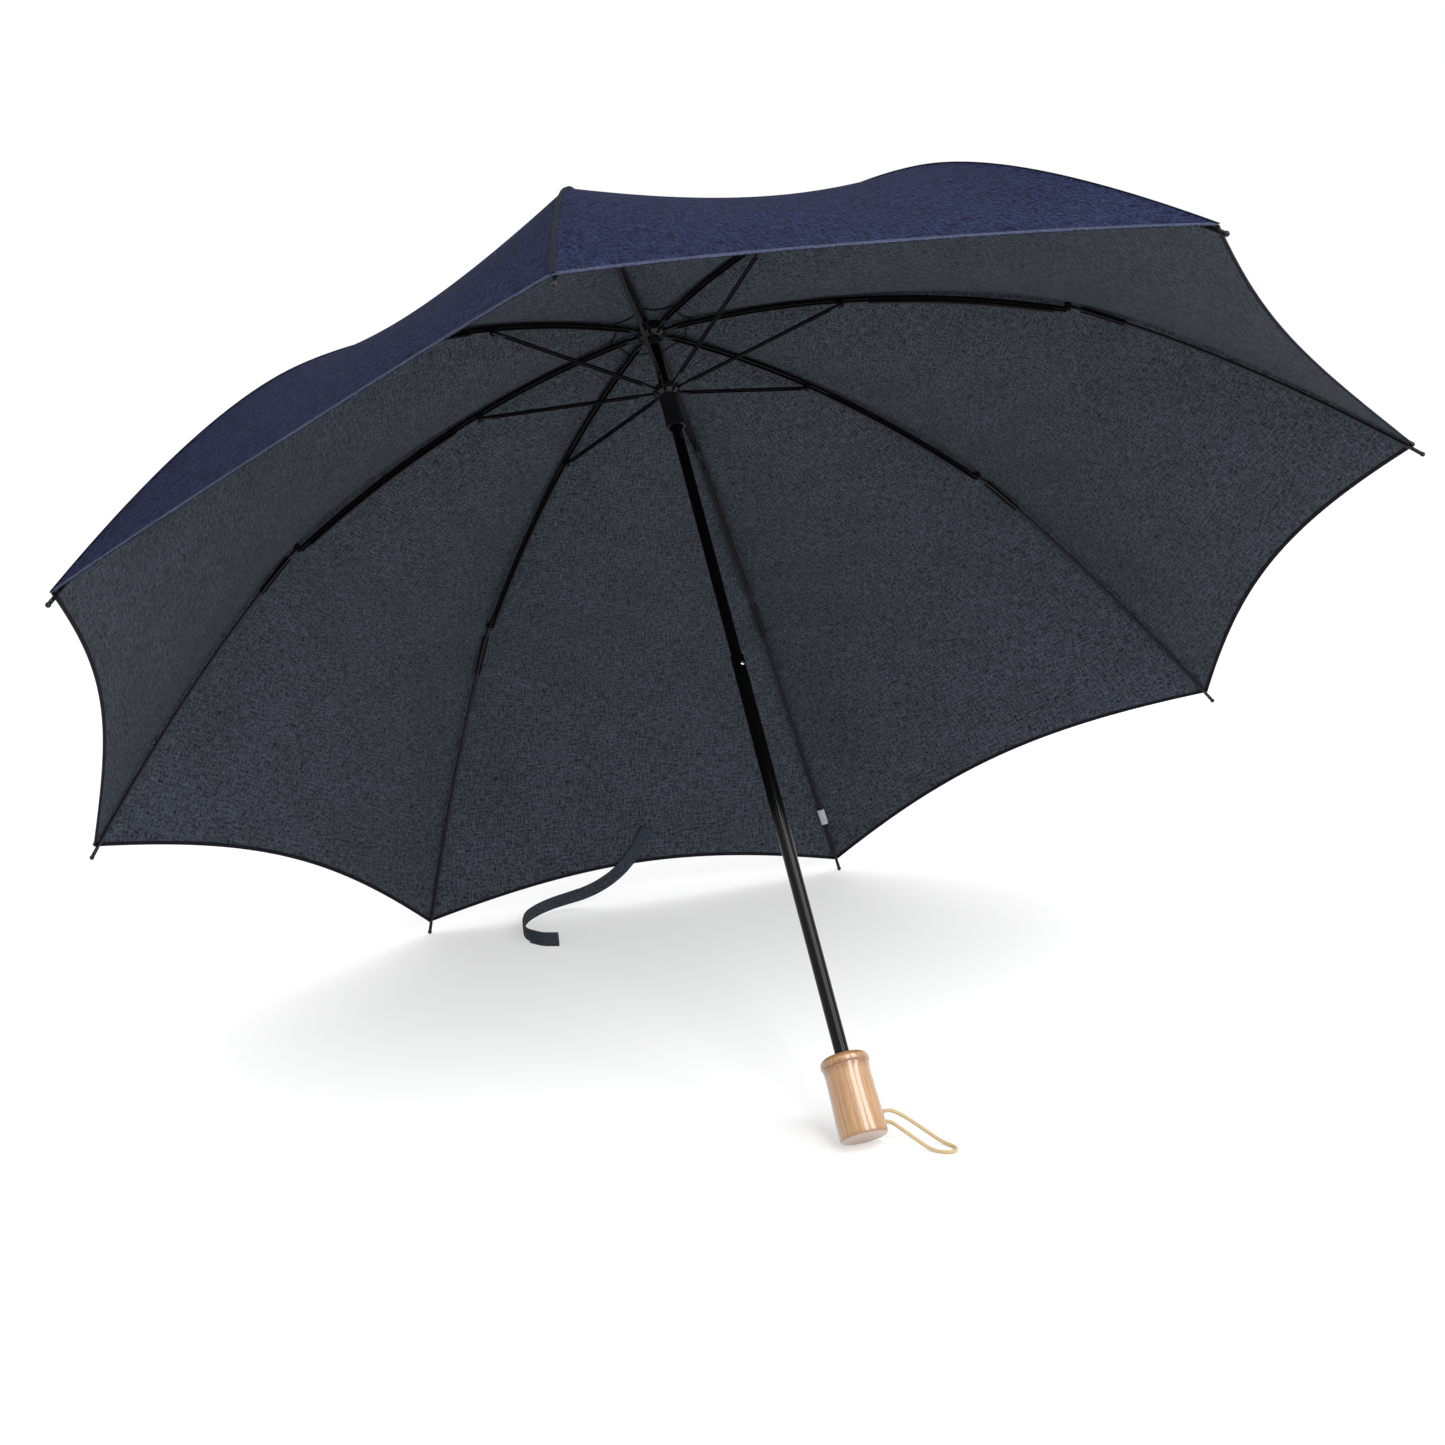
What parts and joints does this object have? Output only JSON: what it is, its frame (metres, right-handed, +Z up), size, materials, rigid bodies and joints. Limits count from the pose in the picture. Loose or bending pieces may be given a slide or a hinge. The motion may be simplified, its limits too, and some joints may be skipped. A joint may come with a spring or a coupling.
{
  "type": "folding umbrella",
  "caption": "Open two-fold telescopic umbrella with a fabric canopy on hinged ribs, a sliding runner, a short wooden handle, a wrist loop and a closing strap.",
  "frame": {"origin": "on the floor, under the middle of the open umbrella without its wrist loop, as it stands on two rib tips and the edge of its handle", "axes": "+Z up from the floor, +X the longest way across the canopy, +Y from the handle towards the two rib tips on the floor"},
  "size_m": [0.9092, 0.7258, 0.6108],
  "materials": {
    "handle": "glossy varnished bamboo, darkened ring under the shoulder",
    "black_steel": "glossy black lacquer",
    "rib_steel": "satin black lacquer",
    "black_plastic": "satin black moulding",
    "bright_steel": "polished",
    "cord": "braided golden beige cord",
    "denim_outside": "indigo twill, finely mottled",
    "denim_inside": "dark blue-grey melange",
    "clear_plastic": "clear flexible plastic"
  },
  "bodies": {
    "grip": {"handle": "handle", "lower_tube": "black_steel", "wrist_loop": "cord"},
    "shaft": {"upper_tube": "black_steel", "top_notch": "black_plastic", "crown_cap": "black_plastic"},
    "runner": {"runner": "black_plastic"},
    "lock_button": {"lock_button": "bright_steel"},
    "catch": {"catch_spring": "black_steel"},
    "inner_rib_0": {"inner_rib_0": "rib_steel", "inner_gore_0": "denim_outside"},
    "stretcher_0": {"stretcher_0": "rib_steel"},
    "link_rod_0": {"link_rod_0": "rib_steel"},
    "outer_rib_0": {"outer_rib_0": "rib_steel", "outer_gore_0": "denim_outside"},
    "inner_rib_1": {"inner_rib_1": "rib_steel", "inner_gore_1": "denim_outside"},
    "stretcher_1": {"stretcher_1": "rib_steel"},
    "link_rod_1": {"link_rod_1": "rib_steel"},
    "outer_rib_1": {"outer_rib_1": "rib_steel", "outer_gore_1": "denim_outside"},
    "inner_rib_2": {"inner_rib_2": "rib_steel", "inner_gore_2": "denim_outside"},
    "stretcher_2": {"stretcher_2": "rib_steel"},
    "link_rod_2": {"link_rod_2": "rib_steel"},
    "outer_rib_2": {"outer_rib_2": "rib_steel", "outer_gore_2": "denim_outside"},
    "inner_rib_3": {"inner_rib_3": "rib_steel", "inner_gore_3": "denim_outside"},
    "stretcher_3": {"stretcher_3": "rib_steel"},
    "link_rod_3": {"link_rod_3": "rib_steel"},
    "outer_rib_3": {"outer_rib_3": "rib_steel", "outer_gore_3": "denim_outside", "rib_tag": "clear_plastic", "strap": "denim_inside", "strap_tab": "denim_inside"},
    "inner_rib_4": {"inner_rib_4": "rib_steel", "inner_gore_4": "denim_outside"},
    "stretcher_4": {"stretcher_4": "rib_steel"},
    "link_rod_4": {"link_rod_4": "rib_steel"},
    "outer_rib_4": {"outer_rib_4": "rib_steel", "outer_gore_4": "denim_outside"},
    "inner_rib_5": {"inner_rib_5": "rib_steel", "inner_gore_5": "denim_outside"},
    "stretcher_5": {"stretcher_5": "rib_steel"},
    "link_rod_5": {"link_rod_5": "rib_steel"},
    "outer_rib_5": {"outer_rib_5": "rib_steel", "outer_gore_5": "denim_outside"},
    "inner_rib_6": {"inner_rib_6": "rib_steel", "inner_gore_6": "denim_outside"},
    "stretcher_6": {"stretcher_6": "rib_steel"},
    "link_rod_6": {"link_rod_6": "rib_steel"},
    "outer_rib_6": {"outer_rib_6": "rib_steel", "outer_gore_6": "denim_outside"},
    "inner_rib_7": {"inner_rib_7": "rib_steel", "inner_gore_7": "denim_outside"},
    "stretcher_7": {"stretcher_7": "rib_steel"},
    "link_rod_7": {"link_rod_7": "rib_steel"},
    "outer_rib_7": {"outer_rib_7": "rib_steel", "outer_gore_7": "denim_outside"}
  },
  "joints": [
    {"name": "runner_slide", "type": "slide", "parent": "shaft", "child": "runner", "axis": [0, 0.6191, 0.7853], "range_m": [-0.21743, 0], "deforming": ["inner_gore_0", "outer_gore_0", "inner_gore_1", "outer_gore_1", "inner_gore_2", "outer_gore_2", "inner_gore_3", "outer_gore_3", "inner_gore_4", "outer_gore_4", "inner_gore_5", "outer_gore_5", "inner_gore_6", "outer_gore_6", "inner_gore_7", "outer_gore_7", "strap", "strap_tab", "catch_spring"]},
    {"name": "shaft_slide", "type": "slide", "parent": "grip", "child": "shaft", "axis": [0, 0.6191, 0.7853], "range_m": [-0.25, 0], "deforming": ["lock_button"]},
    {"name": "lock_button_press", "type": "slide", "parent": "shaft", "child": "lock_button", "axis": [-0.2588, 0.7586, -0.598], "range_m": [0, 0.001], "stiffness_N_per_m": 800, "springref_m": -0.0005},
    {"name": "catch_press", "type": "slide", "parent": "shaft", "child": "catch", "axis": [-0.2588, 0.7586, -0.598], "range_m": [0, 0.0016], "stiffness_N_per_m": 800, "springref_m": -0.0005},
    {"name": "notch_hinge_0", "type": "hinge", "parent": "shaft", "child": "inner_rib_0", "pos_m": [-0.00831, 0.16659, 0.50596], "axis": [0.3827, -0.7256, 0.5719], "range_deg": [0, 72.73]},
    {"name": "elbow_hinge_0", "type": "hinge", "parent": "inner_rib_0", "child": "stretcher_0", "pos_m": [-0.13125, 0.11044, 0.51699], "axis": [0.3827, -0.7256, 0.5719], "range_deg": [-145.46, 0]},
    {"name": "knee_hinge_0", "type": "hinge", "parent": "inner_rib_0", "child": "outer_rib_0", "pos_m": [-0.27624, 0.02619, 0.50712], "axis": [0.3827, -0.7256, 0.5719], "range_deg": [-191.01, 0]},
    {"name": "link_slide_0", "type": "slide", "parent": "inner_rib_0", "child": "link_rod_0", "axis": [0.8631, 0.5015, 0.0587], "range_m": [0, 0.005]},
    {"name": "notch_hinge_1", "type": "hinge", "parent": "shaft", "child": "inner_rib_1", "pos_m": [-0.00831, 0.172, 0.50169], "axis": [-0.3827, -0.7256, 0.5719], "range_deg": [0, 72.73]},
    {"name": "elbow_hinge_1", "type": "hinge", "parent": "inner_rib_1", "child": "stretcher_1", "pos_m": [-0.13125, 0.19583, 0.44968], "axis": [-0.3827, -0.7256, 0.5719], "range_deg": [-145.46, 0]},
    {"name": "knee_hinge_1", "type": "hinge", "parent": "inner_rib_1", "child": "outer_rib_1", "pos_m": [-0.27624, 0.20591, 0.36545], "axis": [-0.3827, -0.7256, 0.5719], "range_deg": [-191.01, 0]},
    {"name": "link_slide_1", "type": "slide", "parent": "inner_rib_1", "child": "link_rod_1", "axis": [0.8631, -0.06, 0.5014], "range_m": [0, 0.005]},
    {"name": "notch_hinge_2", "type": "hinge", "parent": "shaft", "child": "inner_rib_2", "pos_m": [-0.00344, 0.17582, 0.49868], "axis": [-0.9239, -0.3005, 0.2369], "range_deg": [0, 72.73]},
    {"name": "elbow_hinge_2", "type": "hinge", "parent": "inner_rib_2", "child": "stretcher_2", "pos_m": [-0.05437, 0.25621, 0.40208], "axis": [-0.9239, -0.3005, 0.2369], "range_deg": [-145.46, 0]},
    {"name": "knee_hinge_2", "type": "hinge", "parent": "inner_rib_2", "child": "outer_rib_2", "pos_m": [-0.11442, 0.33299, 0.26528], "axis": [-0.9239, -0.3005, 0.2369], "range_deg": [-191.01, 0]},
    {"name": "link_slide_2", "type": "slide", "parent": "inner_rib_2", "child": "link_rod_2", "axis": [0.3575, -0.4571, 0.8144], "range_m": [0, 0.005]},
    {"name": "notch_hinge_3", "type": "hinge", "parent": "shaft", "child": "inner_rib_3", "pos_m": [0.00344, 0.17582, 0.49868], "axis": [-0.9239, 0.3005, -0.2369], "range_deg": [0, 72.73]},
    {"name": "elbow_hinge_3", "type": "hinge", "parent": "inner_rib_3", "child": "stretcher_3", "pos_m": [0.05437, 0.25621, 0.40208], "axis": [-0.9239, 0.3005, -0.2369], "range_deg": [-145.46, 0]},
    {"name": "knee_hinge_3", "type": "hinge", "parent": "inner_rib_3", "child": "outer_rib_3", "pos_m": [0.11442, 0.33299, 0.26528], "axis": [-0.9239, 0.3005, -0.2369], "range_deg": [-191.01, 0]},
    {"name": "link_slide_3", "type": "slide", "parent": "inner_rib_3", "child": "link_rod_3", "axis": [-0.3575, -0.4571, 0.8144], "range_m": [0, 0.005]},
    {"name": "notch_hinge_4", "type": "hinge", "parent": "shaft", "child": "inner_rib_4", "pos_m": [0.00831, 0.172, 0.50169], "axis": [-0.3827, 0.7256, -0.5719], "range_deg": [0, 72.73]},
    {"name": "elbow_hinge_4", "type": "hinge", "parent": "inner_rib_4", "child": "stretcher_4", "pos_m": [0.13125, 0.19583, 0.44968], "axis": [-0.3827, 0.7256, -0.5719], "range_deg": [-145.46, 0]},
    {"name": "knee_hinge_4", "type": "hinge", "parent": "inner_rib_4", "child": "outer_rib_4", "pos_m": [0.27624, 0.20591, 0.36545], "axis": [-0.3827, 0.7256, -0.5719], "range_deg": [-191.01, 0]},
    {"name": "link_slide_4", "type": "slide", "parent": "inner_rib_4", "child": "link_rod_4", "axis": [-0.8631, -0.06, 0.5014], "range_m": [0, 0.005]},
    {"name": "notch_hinge_5", "type": "hinge", "parent": "shaft", "child": "inner_rib_5", "pos_m": [0.00831, 0.16659, 0.50596], "axis": [0.3827, 0.7256, -0.5719], "range_deg": [0, 72.73]},
    {"name": "elbow_hinge_5", "type": "hinge", "parent": "inner_rib_5", "child": "stretcher_5", "pos_m": [0.13125, 0.11044, 0.51699], "axis": [0.3827, 0.7256, -0.5719], "range_deg": [-145.46, 0]},
    {"name": "knee_hinge_5", "type": "hinge", "parent": "inner_rib_5", "child": "outer_rib_5", "pos_m": [0.27624, 0.02619, 0.50712], "axis": [0.3827, 0.7256, -0.5719], "range_deg": [-191.01, 0]},
    {"name": "link_slide_5", "type": "slide", "parent": "inner_rib_5", "child": "link_rod_5", "axis": [-0.8631, 0.5015, 0.0587], "range_m": [0, 0.005]},
    {"name": "notch_hinge_6", "type": "hinge", "parent": "shaft", "child": "inner_rib_6", "pos_m": [0.00344, 0.16276, 0.50897], "axis": [0.9239, 0.3005, -0.2369], "range_deg": [0, 72.73]},
    {"name": "elbow_hinge_6", "type": "hinge", "parent": "inner_rib_6", "child": "stretcher_6", "pos_m": [0.05437, 0.05006, 0.56458], "axis": [0.9239, 0.3005, -0.2369], "range_deg": [-145.46, 0]},
    {"name": "knee_hinge_6", "type": "hinge", "parent": "inner_rib_6", "child": "outer_rib_6", "pos_m": [0.11442, -0.10089, 0.6073], "axis": [0.9239, 0.3005, -0.2369], "range_deg": [-191.01, 0]},
    {"name": "link_slide_6", "type": "slide", "parent": "inner_rib_6", "child": "link_rod_6", "axis": [-0.3575, 0.8986, -0.2543], "range_m": [0, 0.005]},
    {"name": "notch_hinge_7", "type": "hinge", "parent": "shaft", "child": "inner_rib_7", "pos_m": [-0.00344, 0.16276, 0.50897], "axis": [0.9239, -0.3005, 0.2369], "range_deg": [0, 72.73]},
    {"name": "elbow_hinge_7", "type": "hinge", "parent": "inner_rib_7", "child": "stretcher_7", "pos_m": [-0.05437, 0.05006, 0.56458], "axis": [0.9239, -0.3005, 0.2369], "range_deg": [-145.46, 0]},
    {"name": "knee_hinge_7", "type": "hinge", "parent": "inner_rib_7", "child": "outer_rib_7", "pos_m": [-0.11442, -0.10089, 0.6073], "axis": [0.9239, -0.3005, 0.2369], "range_deg": [-191.01, 0]},
    {"name": "link_slide_7", "type": "slide", "parent": "inner_rib_7", "child": "link_rod_7", "axis": [0.3575, 0.8986, -0.2543], "range_m": [0, 0.005]}
  ],
  "couplings": [
    {"joint": "notch_hinge_0", "follows": "runner_slide", "rad_per_m": -5.8377},
    {"joint": "elbow_hinge_0", "follows": "runner_slide", "rad_per_m": 11.675},
    {"joint": "knee_hinge_0", "follows": "runner_slide", "rad_per_m": 15.332},
    {"joint": "link_slide_0", "follows": "runner_slide", "ratio": -0.022996},
    {"joint": "notch_hinge_1", "follows": "runner_slide", "rad_per_m": -5.8377},
    {"joint": "elbow_hinge_1", "follows": "runner_slide", "rad_per_m": 11.675},
    {"joint": "knee_hinge_1", "follows": "runner_slide", "rad_per_m": 15.332},
    {"joint": "link_slide_1", "follows": "runner_slide", "ratio": -0.022996},
    {"joint": "notch_hinge_2", "follows": "runner_slide", "rad_per_m": -5.8377},
    {"joint": "elbow_hinge_2", "follows": "runner_slide", "rad_per_m": 11.675},
    {"joint": "knee_hinge_2", "follows": "runner_slide", "rad_per_m": 15.332},
    {"joint": "link_slide_2", "follows": "runner_slide", "ratio": -0.022996},
    {"joint": "notch_hinge_3", "follows": "runner_slide", "rad_per_m": -5.8377},
    {"joint": "elbow_hinge_3", "follows": "runner_slide", "rad_per_m": 11.675},
    {"joint": "knee_hinge_3", "follows": "runner_slide", "rad_per_m": 15.332},
    {"joint": "link_slide_3", "follows": "runner_slide", "ratio": -0.022996},
    {"joint": "notch_hinge_4", "follows": "runner_slide", "rad_per_m": -5.8377},
    {"joint": "elbow_hinge_4", "follows": "runner_slide", "rad_per_m": 11.675},
    {"joint": "knee_hinge_4", "follows": "runner_slide", "rad_per_m": 15.332},
    {"joint": "link_slide_4", "follows": "runner_slide", "ratio": -0.022996},
    {"joint": "notch_hinge_5", "follows": "runner_slide", "rad_per_m": -5.8377},
    {"joint": "elbow_hinge_5", "follows": "runner_slide", "rad_per_m": 11.675},
    {"joint": "knee_hinge_5", "follows": "runner_slide", "rad_per_m": 15.332},
    {"joint": "link_slide_5", "follows": "runner_slide", "ratio": -0.022996},
    {"joint": "notch_hinge_6", "follows": "runner_slide", "rad_per_m": -5.8377},
    {"joint": "elbow_hinge_6", "follows": "runner_slide", "rad_per_m": 11.675},
    {"joint": "knee_hinge_6", "follows": "runner_slide", "rad_per_m": 15.332},
    {"joint": "link_slide_6", "follows": "runner_slide", "ratio": -0.022996},
    {"joint": "notch_hinge_7", "follows": "runner_slide", "rad_per_m": -5.8377},
    {"joint": "elbow_hinge_7", "follows": "runner_slide", "rad_per_m": 11.675},
    {"joint": "knee_hinge_7", "follows": "runner_slide", "rad_per_m": 15.332},
    {"joint": "link_slide_7", "follows": "runner_slide", "ratio": -0.022996}
  ]
}
